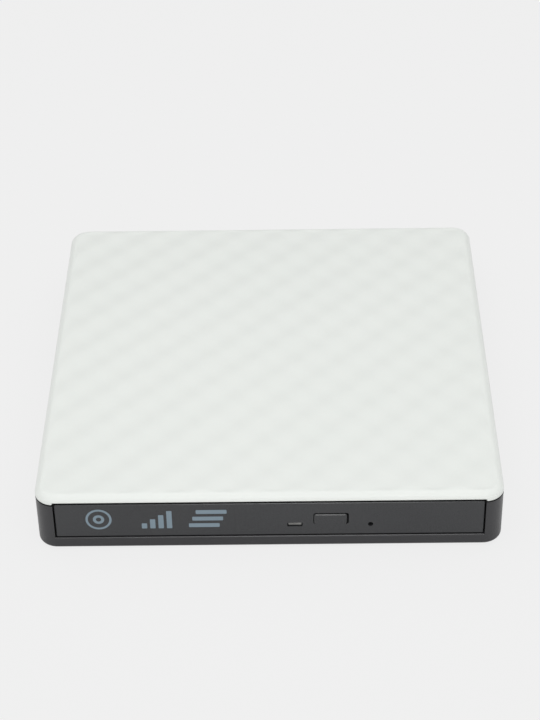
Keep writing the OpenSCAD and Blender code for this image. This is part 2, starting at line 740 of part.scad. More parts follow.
module spindle_stator() {
  color([0.72, 0.45, 0.2]) in_traverse() difference() {
    post(0, 0, 8.6, axis_z, 5.9);
    post(0, 0, 2.6, axis_z - 1, 7);
    for (a = [0:40:320]) rotate(a) block(5, 9, -0.5, 0.5, axis_z + 0.3, 7);
  }
}

module main_guide_rod() {
  color([0.8, 0.8, 0.82]) in_traverse() bar_x(10.8, traverse_end - 1, main_rod_y, axis_z, 1);
}

module aux_guide_rod() {
  color([0.8, 0.8, 0.82]) in_traverse() bar_x(10.8, traverse_end - 1, aux_rod_y, axis_z, 1);
}

module feed_motor() {
  color([0.7, 0.7, 0.72]) in_traverse() difference() {
    bar_x(1, 14, feed_y, axis_z, 3);
    for (s = [-1, 1]) translate([7, feed_y, axis_z + s * 3.4]) cube([20, 10, 4], center = true);
    bar_x(12, 15, feed_y, axis_z, 0.6 + fit_run);
  }
}

module spindle_rotor() {
  color([0.78, 0.78, 0.8]) in_traverse() {
    difference() {
      post(0, 0, 10.5, 4.5, 7);
      post(0, 0, 9.3, 4, 6.2);
    }
    post(0, 0, 1, frame_top + 0.35, hub_top - 0.5);
  }
}

module clamp_hub() {
  color([0.16, 0.16, 0.17]) in_traverse() difference() {
    union() {
      post(0, 0, 14.5, 7, 7.8);
      post(0, 0, 10.3, 7.8 - eps, disc_seat);
      post(0, 0, hub_r, disc_seat - eps, disc_seat + disc_t);
      translate([0, 0, disc_seat + disc_t]) cylinder(r1 = hub_r, r2 = hub_r - 0.7, h = hub_top - disc_seat - disc_t);
    }
    post(0, 0, 1, 6, hub_top - 0.5);
    for (a = [0, 120, 240]) rotate(a) block(2.9, 9, -1.5, 1.5, 8.35, 9.95);
  }
}

module turntable_ring() {
  color([0.1, 0.1, 0.1]) in_traverse() difference() {
    post(0, 0, 14, 7.8, disc_seat);
    post(0, 0, 10.5, 7, 9);
  }
}

module claw(a) {
  in_traverse() rotate(a) {
    block(3.6, 7.1, -1.3, 1.3, 8.4, 9.8);
    block(7.1 - eps, hub_r + claw_reach, -1.3, 1.3, 9.4, 9.8);
  }
}

module disc_claw_1() {
  color([0.85, 0.85, 0.83]) claw(0);
}

module disc_claw_2() {
  color([0.85, 0.85, 0.83]) claw(120);
}

module disc_claw_3() {
  color([0.85, 0.85, 0.83]) claw(240);
}

// feed screw: one ridge on a round core, its angle falling along the axis
module feed_screw() {
  steps = 10;
  x0 = 15.6;
  turns = floor((traverse_end - 7.4 - x0) / feed_pitch + 0.05);
  color([0.75, 0.75, 0.76]) in_traverse() {
    translate([0, feed_y, axis_z]) tube([for (k = [0:steps * turns]) let (x = x0 + feed_pitch * k / steps,
      a = 180 - 360 * (x - pickup_x) / feed_pitch) [for (i = [0:11]) let (r = i == 0 ? 1.15 : 0.85)
      [x, r * cos(a + 30 * i), r * sin(a + 30 * i)]]]);
    bar_x(12.4, x0 + eps, feed_y, axis_z, 0.6);
    bar_x(x0 + feed_pitch * turns - eps, traverse_end - 5.2, feed_y, axis_z, 0.6);
  }
}

module pickup_body() {
  color([0.55, 0.56, 0.58]) in_traverse() difference() {
    union() {
      block(pickup_x - 9, pickup_x + 7, -16.9, 15.9, 2.6, 5.5);
    }
    bar_x(0, 60, main_rod_y, axis_z, 1.04);
    block(0, 60, aux_rod_y - 1.2, 20, axis_z - 1.08, axis_z + 1.08);
    block(pickup_x - 4.5, pickup_x + 4.5, -6, 6, 4.4, 6);
  }
}

module pickup_cover() {
  color([0.2, 0.2, 0.22]) in_traverse() difference() {
    block(pickup_x - 8, pickup_x + 6, -7, 7, 5.5, 7);
    block(pickup_x - 4.1, pickup_x + 4.1, -5.5, 5.5, 5, 8);
  }
}

module feed_finger() {
  color([0.85, 0.85, 0.8]) in_traverse() {
    block(pickup_x - 2, pickup_x + 2, -17.5, -16.9, 3.5, 5.1);
    block(pickup_x - 0.4, pickup_x + 0.4, -18.45, -17.5 + eps, 4, 4.6);
  }
}

module lens_holder() {
  color([0.15, 0.15, 0.16]) in_traverse() block(pickup_x - 3.5, pickup_x + 3.5, -5, 5, 4.9, 6.9);
}

module objective_lens() {
  color([0.45, 0.55, 0.8]) in_traverse() {
    post(pickup_x, 0, 2, 6.9, 7.2);
    post(pickup_x, 0, 1.6, 7.2 - eps, 7.4);
  }
}

// latch and ejector
module latch_hook() {
  color([0.8, 0.8, 0.78]) in_drive() translate([latch_x, latch_y, 0]) rotate(latch_open) difference() {
    union() {
      post(0, 0, 2.2, 2.2, 3.6);
      block(-1, 1, -15, 6.7, 2.2, 3.6);
      block(post_x - latch_x - 0.8, 1, -15, -13.6, 2.2, 3.6);
    }
    post(0, 0, 1.04, 2, 4);
  }
}

module latch_solenoid() {
  color([0.5, 0.35, 0.2]) in_drive() {
    block(latch_x + 2.4, half_tray - skirt_t - 0.5, latch_y + 3, latch_y + 14, 2.2, tray_floor);
    bar_x(latch_x + 1.6, latch_x + 2.5, latch_y + 6, 2.9, 0.6);
  }
}

module ejector_rod() {
  color([0.78, 0.78, 0.8]) in_drive() {
    bar_y(eject_x, eject_y - 14.7, tray_d + 0.9, eject_z, 1);
    bar_y(eject_x, eject_y + 0.3 + spring_len, eject_y + 1.3 + spring_len, eject_z, 1.8);
  }
}

// wound wire round the rod: its ends touch the bracket and the collar
module ejector_spring() {
  pitch = (spring_len - spring_wire) / spring_turns;
  echo("least gap between spring turns", pitch - spring_wire);
  color([0.82, 0.82, 0.84]) in_drive() translate([eject_x, eject_y + 0.3 + spring_wire / 2, eject_z])
    tube([for (k = [0:8 * spring_turns]) let (a = 45 * k, y = pitch * k / 8) [for (i = [0:5])
      let (r = 1.65 + spring_wire / 2 * cos(60 * i), b = spring_wire / 2 * sin(60 * i))
      [r * cos(a), y + b, r * sin(a)]]]);
}

bottom_case();
top_cover();
rubber_feet();
case_screws();
bridge_board();
bridge_board_chips();
board_screws();
sata_socket();
usb_shell();
usb_tongue();
drive_pan();
drive_top_plate();
drive_screws();
left_rail_guide();
right_rail_guide();
main_board();
main_board_chips();
drive_sata_plug();
latch_post();
tray_ribbon();
left_rail();
right_rail();
disc_tray();
tray_bezel();
activity_lens();
front_board();
eject_switch();
status_led();
tray_cover();
tray_screws();
traverse_frame();
traverse_dampers();
traverse_screws();
traverse_cover();
spindle_base();
spindle_stator();
main_guide_rod();
aux_guide_rod();
feed_motor();
latch_solenoid();
ejector_spring();
eject_button();
spindle_rotor();
turntable_ring();
clamp_hub();
disc_claw_1();
disc_claw_2();
disc_claw_3();
feed_screw();
pickup_body();
pickup_cover();
feed_finger();
objective_lens();
lens_holder();
latch_hook();
ejector_rod();
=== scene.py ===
"""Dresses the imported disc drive: quilted lid, finishes, printed marks, light and camera."""

import logging
import math
from dataclasses import dataclass
from enum import Enum
from typing import Sequence

import bmesh
import bpy
from mathutils import Matrix, Vector


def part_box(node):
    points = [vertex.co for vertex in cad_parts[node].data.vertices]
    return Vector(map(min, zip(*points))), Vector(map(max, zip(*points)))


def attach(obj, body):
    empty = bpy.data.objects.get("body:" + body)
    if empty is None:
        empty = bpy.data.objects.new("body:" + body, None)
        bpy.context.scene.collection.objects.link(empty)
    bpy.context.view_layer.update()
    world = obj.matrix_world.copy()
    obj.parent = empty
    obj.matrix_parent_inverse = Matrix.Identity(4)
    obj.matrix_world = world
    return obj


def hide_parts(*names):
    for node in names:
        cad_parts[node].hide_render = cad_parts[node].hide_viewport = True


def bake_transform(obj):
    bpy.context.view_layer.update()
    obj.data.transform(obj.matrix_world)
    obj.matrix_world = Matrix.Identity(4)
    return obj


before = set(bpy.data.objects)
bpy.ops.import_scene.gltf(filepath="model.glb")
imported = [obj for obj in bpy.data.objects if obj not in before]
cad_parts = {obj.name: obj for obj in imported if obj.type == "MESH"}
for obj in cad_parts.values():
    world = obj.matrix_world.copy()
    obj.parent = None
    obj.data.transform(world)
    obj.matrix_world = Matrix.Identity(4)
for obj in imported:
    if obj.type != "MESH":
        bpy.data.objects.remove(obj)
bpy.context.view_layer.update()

MM = 0.001
LOG = logging.getLogger("disc_drive")

Colour = tuple[float, float, float]
Point = tuple[float, float, float]
Pair = tuple[float, float]
Value = float | Point | tuple[float, float, float, float] | bpy.types.NodeSocket

# Sizes of the solids that the new pieces stand for or sit against

HALF_W, HALF_D, TOP_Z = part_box("top_cover")[1]
SEAM_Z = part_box("bottom_case")[1].z
BEZEL_LOW, BEZEL_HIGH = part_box("tray_bezel")
SPRING_LOW, SPRING_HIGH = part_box("ejector_spring")
RIBBON_LOW, RIBBON_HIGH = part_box("tray_ribbon")
CORNER_R = 6.0 * MM

# Angles in degrees above which an edge stays sharp, and the rounding of the solids' edges

NODE_CREASE = 32.0
LID_CREASE = 50.0
TONGUE_CREASE = 40.0
PANEL_CREASE = 35.0
BEVEL_ANGLE = 35.0
BEVEL_STEPS = 2
WELD_GAP = 1e-6
PANEL_WELD_GAP = 1e-7
HALF_CORNER = math.radians(45.0)

# Sockets of the Mix node for colours, which share their names with those for other values

MIX_FIRST, MIX_SECOND, MIX_RESULT = 6, 7, 2


# Helpers for meshes and shader nodes


def rgba(colour: Colour) -> tuple[float, float, float, float]:
    """Return a colour with full alpha."""
    return (*colour, 1.0)


def smoothstep(low: float, high: float, value: float) -> float:
    """Return 0 below low, 1 above high and a smooth ramp between them."""
    t = min(max((value - low) / (high - low), 0.0), 1.0)
    return t * t * (3.0 - 2.0 * t)


def grid_faces(rows: int, columns: int) -> list[list[int]]:
    """Return the faces of a grid of corners that are numbered row by row."""
    corners = [j * columns + i for j in range(rows - 1) for i in range(columns - 1)]
    return [[k, k + 1, k + columns + 1, k + columns] for k in corners]


def add_object(name: str, data: bpy.types.ID) -> bpy.types.Object:
    """Put an object into the scene.

    Args:
        name: name of the object.
        data: its mesh, camera or light.

    Returns:
        The new object.
    """
    item = bpy.data.objects.new(name, data)
    bpy.context.scene.collection.objects.link(item)
    return item


def mesh_object(name: str, points: Sequence[Point],
                faces: Sequence[Sequence[int]]) -> bpy.types.Object:
    """Make a smooth-shaded mesh object in the scene.

    Args:
        name: name of the piece.
        points: corners in metres, in the frame of the part.
        faces: corner indices of each face.

    Returns:
        The new object.
    """
    mesh = bpy.data.meshes.new(name)
    mesh.from_pydata(points, [], faces)
    mesh.validate()
    bm = bmesh.new()
    bm.from_mesh(mesh)
    bmesh.ops.recalc_face_normals(bm, faces=bm.faces)
    bm.to_mesh(mesh)
    bm.free()
    for polygon in mesh.polygons:
        polygon.use_smooth = True
    return add_object(name, mesh)


def sharpen(piece: bpy.types.Object, degrees: float) -> None:
    """Mark edges above an angle as sharp, so flat faces stay flat."""
    piece.data.set_sharp_from_angle(angle=math.radians(degrees))


def soften_edges(piece: bpy.types.Object, width: float) -> None:
    """Add weld, bevel and weighted normals, so that moulded edges catch light.

    Args:
        piece: object to treat.
        width: bevel width in metres.
    """
    weld = piece.modifiers.new("weld", "WELD")
    weld.merge_threshold = WELD_GAP
    bevel = piece.modifiers.new("edge", "BEVEL")
    bevel.width = width
    bevel.segments = BEVEL_STEPS
    bevel.limit_method = "ANGLE"
    bevel.angle_limit = math.radians(BEVEL_ANGLE)
    bevel.harden_normals = True
    bevel.use_clamp_overlap = True
    normals = piece.modifiers.new("flat_faces", "WEIGHTED_NORMAL")
    normals.keep_sharp = True


class NodeBench:
    """Lays shader nodes in one tree and links them."""

    def __init__(self, tree: bpy.types.NodeTree) -> None:
        """Keep the tree that the nodes go into."""
        self.tree = tree

    @classmethod
    def on(cls, owner: bpy.types.Material | bpy.types.World) -> "NodeBench":
        """Start on the emptied tree of a material or a world.

        Args:
            owner: the material or world.

        Returns:
            The bench.
        """
        owner.use_nodes = True
        owner.node_tree.nodes.clear()
        return cls(owner.node_tree)

    def add(self, kind: str, inputs: dict[str | int, Value] | None = None,
            **settings: object) -> bpy.types.Node:
        """Add a node.

        Args:
            kind: node type name.
            inputs: socket name or index to a value, or to a socket to link from.
            **settings: properties of the node.

        Returns:
            The new node.
        """
        node = self.tree.nodes.new(kind)
        for key, value in settings.items():
            setattr(node, key, value)
        for key, value in (inputs or {}).items():
            if isinstance(value, bpy.types.NodeSocket):
                self.tree.links.new(value, node.inputs[key])
            else:
                node.inputs[key].default_value = value
        return node

    def math(self, operation: str, first: Value, second: Value) -> bpy.types.NodeSocket:
        """Return the result of an operation on two values."""
        return self.add("ShaderNodeMath", {0: first, 1: second}, operation=operation).outputs[0]

    def mix(self, share: Value, first: bpy.types.Node,
            second: bpy.types.Node) -> bpy.types.Node:
        """Return a mix of two shaders, with the given share of the second."""
        return self.add("ShaderNodeMixShader",
                        {0: share, 1: first.outputs[0], 2: second.outputs[0]})


# Finishes


@dataclass(frozen=True)
class Texture:
    """Node group for a kind of surface: tone drift, fine relief, and gloss that follows it."""

    name: str
    stretch: Point
    drift_rough: float
    drift_span: Pair
    fine_rough: float
    drift_detail: float = 3.0
    fine_detail: float = 2.0
    fine_span: Pair = (0.3, 0.7)

    def _start(self) -> bpy.types.NodeTree:
        """Make the empty group with its named sockets.

        Returns:
            The group.
        """
        tree = bpy.data.node_groups.new(self.name, "ShaderNodeTree")
        colour, value = "NodeSocketColor", "NodeSocketFloat"
        sockets = {
            "INPUT": {"Colour": colour, "Tint": colour, "Drift Scale": value, "Fine Scale": value,
                      "Rough Low": value, "Rough High": value},
            "OUTPUT": {"Colour": colour, "Roughness": value, "Height": value},
        }
        for side, kinds in sockets.items():
            for key, kind in kinds.items():
                tree.interface.new_socket(key, in_out=side, socket_type=kind)
        return tree

    def group(self) -> bpy.types.NodeTree:
        """Build the group.

        Returns:
            The group, or the one built before.
        """
        known = bpy.data.node_groups.get(self.name)
        if known:
            return known
        tree = self._start()
        bench = NodeBench(tree)
        given = bench.add("NodeGroupInput").outputs
        where = bench.add("ShaderNodeTexCoord").outputs["Object"]
        drift = bench.add("ShaderNodeTexNoise", {
            "Vector": where, "Scale": given["Drift Scale"], "Detail": self.drift_detail,
            "Roughness": self.drift_rough})
        ramp = bench.add("ShaderNodeMapRange", {
            "Value": drift.outputs["Fac"], "From Min": self.drift_span[0],
            "From Max": self.drift_span[1]})
        tone = bench.add("ShaderNodeMix", {
            "Factor": ramp.outputs["Result"], MIX_FIRST: given["Colour"],
            MIX_SECOND: given["Tint"]}, data_type="RGBA")
        drawn = bench.add("ShaderNodeVectorMath", {0: where, 1: self.stretch},
                          operation="MULTIPLY")
        fine = bench.add("ShaderNodeTexNoise", {
            "Vector": drawn.outputs[0], "Scale": given["Fine Scale"], "Detail": self.fine_detail,
            "Roughness": self.fine_rough})
        rough = bench.add("ShaderNodeMapRange", {
            "Value": fine.outputs["Fac"], "From Min": self.fine_span[0],
            "From Max": self.fine_span[1], "To Min": given["Rough Low"],
            "To Max": given["Rough High"]})
        bench.add("NodeGroupOutput", {
            "Colour": tone.outputs[MIX_RESULT], "Roughness": rough.outputs["Result"],
            "Height": fine.outputs["Fac"]})
        return tree


class Surface(Enum):
    """How the surface of a finish was made, with the texture that shows it."""

    MOULDED = Texture("moulded_grain", (1.0, 1.0, 1.0), drift_rough=0.55, drift_span=(0.3, 0.7),
                      fine_rough=0.6)
    ROLLED = Texture("rolled_lines", (1.0, 0.03, 1.0), drift_rough=0.6, drift_span=(0.35, 0.65),
                     fine_rough=0.5)


@dataclass(frozen=True)
class Finish:
    """One finish: its colours, gloss and surface texture."""

    name: str
    slot: str
    colour: Colour
    tint: Colour
    rough: Pair
    surface: Surface = Surface.MOULDED
    metallic: float = 0.0
    specular: float = 0.5
    coat: float = 0.0
    coat_rough: float = 0.2
    drift: float = 30.0
    fineness: float = 2500.0
    bump: float = 0.15
    bump_depth: float = 0.02 * MM
    transmission: float = 0.0
    ior: float = 1.5

    def build(self) -> bpy.types.Material:
        """Make the material of this finish.

        Returns:
            The material, or the one made before under this name.
        """
        title = f"{self.name}_finish"
        known = bpy.data.materials.get(title)
        if known:
            return known
        material = bpy.data.materials.new(title)
        bench = NodeBench.on(material)
        group = bench.add("ShaderNodeGroup", {
            "Colour": rgba(self.colour), "Tint": rgba(self.tint), "Drift Scale": self.drift,
            "Fine Scale": self.fineness, "Rough Low": self.rough[0], "Rough High": self.rough[1]},
            node_tree=self.surface.value.group())
        bump = bench.add("ShaderNodeBump", {
            "Strength": self.bump, "Distance": self.bump_depth, "Height": group.outputs["Height"]})
        shader = bench.add("ShaderNodeBsdfPrincipled", {
            "Base Color": group.outputs["Colour"], "Roughness": group.outputs["Roughness"],
            "Normal": bump.outputs["Normal"], "Metallic": self.metallic,
            "Specular IOR Level": self.specular, "Coat Weight": self.coat,
            "Coat Roughness": self.coat_rough, "Transmission Weight": self.transmission,
            "IOR": self.ior})
        bench.add("ShaderNodeOutputMaterial", {"Surface": shader.outputs["BSDF"]})
        material.diffuse_color = rgba(self.colour)
        return material


def rolled_metal(name: str, slot: str, colour: Colour, tint: Colour, rough: Pair,
                 fineness: float, bump: float) -> Finish:
    """Return the finish of a metal with rolled or drawn lines."""
    return Finish(name, slot, colour, tint, rough, Surface.ROLLED, metallic=1.0,
                  fineness=fineness, bump=bump)


LID_WHITE = Finish(
    "lid_white", "lid_plastic", (0.795, 0.820, 0.790), (0.785, 0.812, 0.782), (0.28, 0.36),
    specular=0.32, drift=25.0, fineness=3200.0, bump=0.06, bump_depth=0.01 * MM)
CASE_CHARCOAL = Finish(
    "case_charcoal", "case_plastic", (0.0242, 0.0242, 0.0268), (0.0291, 0.0291, 0.0317),
    (0.26, 0.34), drift=40.0, fineness=6000.0, bump=0.05)
BEZEL_CHARCOAL = Finish(
    "bezel_charcoal", "bezel_plastic", (0.0262, 0.0272, 0.0297), (0.0311, 0.0321, 0.0346),
    (0.25, 0.32), drift=40.0, fineness=6000.0, bump=0.05)
FOOT_RUBBER = Finish(
    "foot_rubber", "foot_rubber", (0.018, 0.018, 0.018), (0.024, 0.024, 0.024), (0.75, 0.9),
    specular=0.3, fineness=1800.0, bump=0.3)
DAMPER_RUBBER = Finish(
    "damper_rubber", "damper_rubber", (0.016, 0.016, 0.016), (0.022, 0.022, 0.022), (0.7, 0.85),
    specular=0.3, fineness=2200.0, bump=0.25)
SHEET_STEEL = rolled_metal(
    "sheet_steel", "steel_sheet", (0.56, 0.56, 0.57), (0.48, 0.48, 0.49), (0.28, 0.42),
    fineness=700.0, bump=0.08)
COVER_STEEL = rolled_metal(
    "cover_steel", "steel_sheet", (0.38, 0.38, 0.39), (0.33, 0.33, 0.34), (0.42, 0.55),
    fineness=700.0, bump=0.08)
SCREW_STEEL = rolled_metal(
    "screw_steel", "screw_steel", (0.45, 0.45, 0.46), (0.36, 0.36, 0.37), (0.25, 0.4),
    fineness=1500.0, bump=0.08)
SOCKET_STEEL = rolled_metal(
    "socket_steel", "socket_steel", (0.60, 0.60, 0.62), (0.52, 0.52, 0.54), (0.2, 0.32),
    fineness=1500.0, bump=0.05)
RAIL_STEEL = rolled_metal(
    "rail_steel", "rail_steel", (0.47, 0.48, 0.50), (0.40, 0.41, 0.43), (0.22, 0.36),
    fineness=1100.0, bump=0.06)
ROD_STEEL = rolled_metal(
    "rod_steel", "rod_steel", (0.64, 0.64, 0.66), (0.58, 0.58, 0.60), (0.10, 0.18),
    fineness=1500.0, bump=0.03)
SPRING_STEEL = rolled_metal(
    "spring_steel", "spring_steel", (0.60, 0.60, 0.62), (0.50, 0.50, 0.52), (0.2, 0.3),
    fineness=1500.0, bump=0.05)
MOTOR_STEEL = rolled_metal(
    "motor_steel", "motor_can", (0.52, 0.52, 0.54), (0.45, 0.45, 0.47), (0.2, 0.34),
    fineness=1300.0, bump=0.05)
COPPER_WIRE = rolled_metal(
    "copper_wire", "coil_copper", (0.50, 0.20, 0.07), (0.40, 0.15, 0.05), (0.25, 0.4),
    fineness=2200.0, bump=0.4)
CAST_METAL = Finish(
    "cast_metal", "frame_metal", (0.36, 0.37, 0.38), (0.30, 0.31, 0.32), (0.42, 0.58),
    metallic=1.0, fineness=1400.0, bump=0.3)
BOARD_GREEN = Finish(
    "board_green", "circuit_board", (0.016, 0.110, 0.045), (0.012, 0.085, 0.035), (0.25, 0.35),
    coat=0.3, drift=300.0, fineness=900.0, bump=0.1)
CHIP_BLACK = Finish(
    "chip_black", "chip_black", (0.015, 0.015, 0.017), (0.020, 0.020, 0.022), (0.5, 0.65))
CONNECTOR_BLACK = Finish(
    "connector_black", "connector_black", (0.020, 0.020, 0.022), (0.026, 0.026, 0.028),
    (0.4, 0.55))
GUIDE_WHITE = Finish(
    "guide_white", "guide_plastic", (0.66, 0.66, 0.61), (0.60, 0.60, 0.55), (0.38, 0.5))
TRAY_BLACK = Finish(
    "tray_black", "tray_plastic", (0.026, 0.026, 0.028), (0.032, 0.032, 0.034), (0.5, 0.64),
    fineness=1900.0, bump=0.3)
HUB_BLACK = Finish(
    "hub_black", "hub_plastic", (0.020, 0.020, 0.022), (0.027, 0.027, 0.029), (0.35, 0.48))
CLAW_WHITE = Finish(
    "claw_white", "claw_plastic", (0.64, 0.64, 0.60), (0.58, 0.58, 0.54), (0.35, 0.48))
SWITCH_WHITE = Finish(
    "switch_white", "switch_plastic", (0.68, 0.68, 0.66), (0.60, 0.60, 0.58), (0.4, 0.5))
# Near-black finish: real felt on the dust strip, and painted shade on the seam tongue and on the
# strip under the lid's notch.
FELT_AND_SHADE_BLACK = Finish(
    "felt_and_shade_black", "damper_rubber", (0.006, 0.006, 0.006), (0.009, 0.009, 0.009), (0.9, 1.0),
    specular=0.1, fineness=4000.0, bump=0.5, bump_depth=0.05 * MM)
LIGHT_BAR = Finish(
    "light_bar", "light_bar", (0.175, 0.175, 0.168), (0.130, 0.130, 0.125), (0.22, 0.32),
    coat=0.2, drift=500.0)
RIBBON_AMBER = Finish(
    "ribbon_amber", "ribbon_film", (0.45, 0.25, 0.06), (0.38, 0.20, 0.05), (0.2, 0.3),
    surface=Surface.ROLLED, fineness=900.0)
LENS_BLUE = Finish(
    "lens_blue", "lens_glass", (0.55, 0.65, 0.92), (0.50, 0.60, 0.88), (0.02, 0.05),
    coat=1.0, transmission=0.8, bump=0.0)
PRINT_GREY = Finish(
    "print_grey", "bezel_plastic", (0.200, 0.262, 0.310), (0.182, 0.244, 0.292), (0.45, 0.55),
    bump=0.05)


@dataclass(frozen=True)
class Dressing:
    """A finish and an edge rounding for CAD nodes, whose shapes stay as they are."""

    finish: Finish
    edge: float
    nodes: tuple[str, ...]

    def apply(self) -> None:
        """Give each node its finish and its rounded edges."""
        for name in self.nodes:
            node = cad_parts[name]
            node.data.materials.clear()
            node.data.materials.append(self.finish.build())
            for polygon in node.data.polygons:
                polygon.use_smooth = True
            sharpen(node, NODE_CREASE)
            if self.edge > 0.0:
                soften_edges(node, self.edge)
            LOG.info("node %s: %s", name, self.finish.name)


NODE_DRESS = (
    Dressing(CASE_CHARCOAL, 0.32 * MM, ("bottom_case",)),
    Dressing(FOOT_RUBBER, 0.12 * MM, ("rubber_feet",)),
    Dressing(SCREW_STEEL, 0.0, ("case_screws", "board_screws", "drive_screws", "tray_screws",
                                "traverse_screws")),
    Dressing(BOARD_GREEN, 0.0, ("bridge_board", "main_board", "front_board")),
    Dressing(CHIP_BLACK, 0.06 * MM, ("bridge_board_chips", "main_board_chips")),
    Dressing(CONNECTOR_BLACK, 0.0, ("sata_socket", "drive_sata_plug")),
    Dressing(CONNECTOR_BLACK, 0.05 * MM, ("usb_tongue",)),
    Dressing(SOCKET_STEEL, 0.0, ("usb_shell",)),
    Dressing(SHEET_STEEL, 0.10 * MM, ("drive_pan", "drive_top_plate")),
    Dressing(SHEET_STEEL, 0.06 * MM, ("tray_cover",)),
    Dressing(COVER_STEEL, 0.06 * MM, ("traverse_cover",)),
    Dressing(GUIDE_WHITE, 0.08 * MM, ("left_rail_guide", "right_rail_guide")),
    Dressing(RAIL_STEEL, 0.08 * MM, ("left_rail", "right_rail")),
    Dressing(ROD_STEEL, 0.0, ("latch_post", "main_guide_rod", "aux_guide_rod", "feed_screw",
                              "ejector_rod")),
    Dressing(TRAY_BLACK, 0.12 * MM, ("disc_tray",)),
    Dressing(SWITCH_WHITE, 0.0, ("eject_switch",)),
    Dressing(LIGHT_BAR, 0.0, ("status_led",)),
    Dressing(CAST_METAL, 0.0, ("spindle_base",)),
    Dressing(CAST_METAL, 0.06 * MM, ("traverse_frame",)),
    Dressing(CAST_METAL, 0.08 * MM, ("pickup_body",)),
    Dressing(DAMPER_RUBBER, 0.0, ("traverse_dampers", "turntable_ring")),
    Dressing(COPPER_WIRE, 0.0, ("spindle_stator", "latch_solenoid")),
    Dressing(MOTOR_STEEL, 0.0, ("feed_motor", "spindle_rotor")),
    Dressing(HUB_BLACK, 0.10 * MM, ("clamp_hub", "pickup_cover")),
    Dressing(HUB_BLACK, 0.08 * MM, ("lens_holder",)),
    Dressing(CLAW_WHITE, 0.08 * MM, ("disc_claw_1", "disc_claw_2", "disc_claw_3", "latch_hook")),
    Dressing(CLAW_WHITE, 0.0, ("feed_finger",)),
    Dressing(LENS_BLUE, 0.0, ("objective_lens",)),
)


def paint(piece: bpy.types.Object, finish: Finish) -> None:
    """Give a new piece its finish.

    Args:
        piece: the new object.
        finish: its finish.
    """
    piece.data.materials.append(finish.build())
    LOG.info("piece %s: %s", piece.name, finish.name)


def place(piece: bpy.types.Object, body: str, finish: Finish, *replaced: str) -> None:
    """Paint a new piece and let it ride on a body.

    Args:
        piece: the new object, already in place.
        body: CAD body that carries it.
        finish: its finish.
        *replaced: CAD nodes that it stands for.
    """
    paint(piece, finish)
    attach(piece, body)
    if replaced:
        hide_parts(*replaced)


# Sub-assemblies


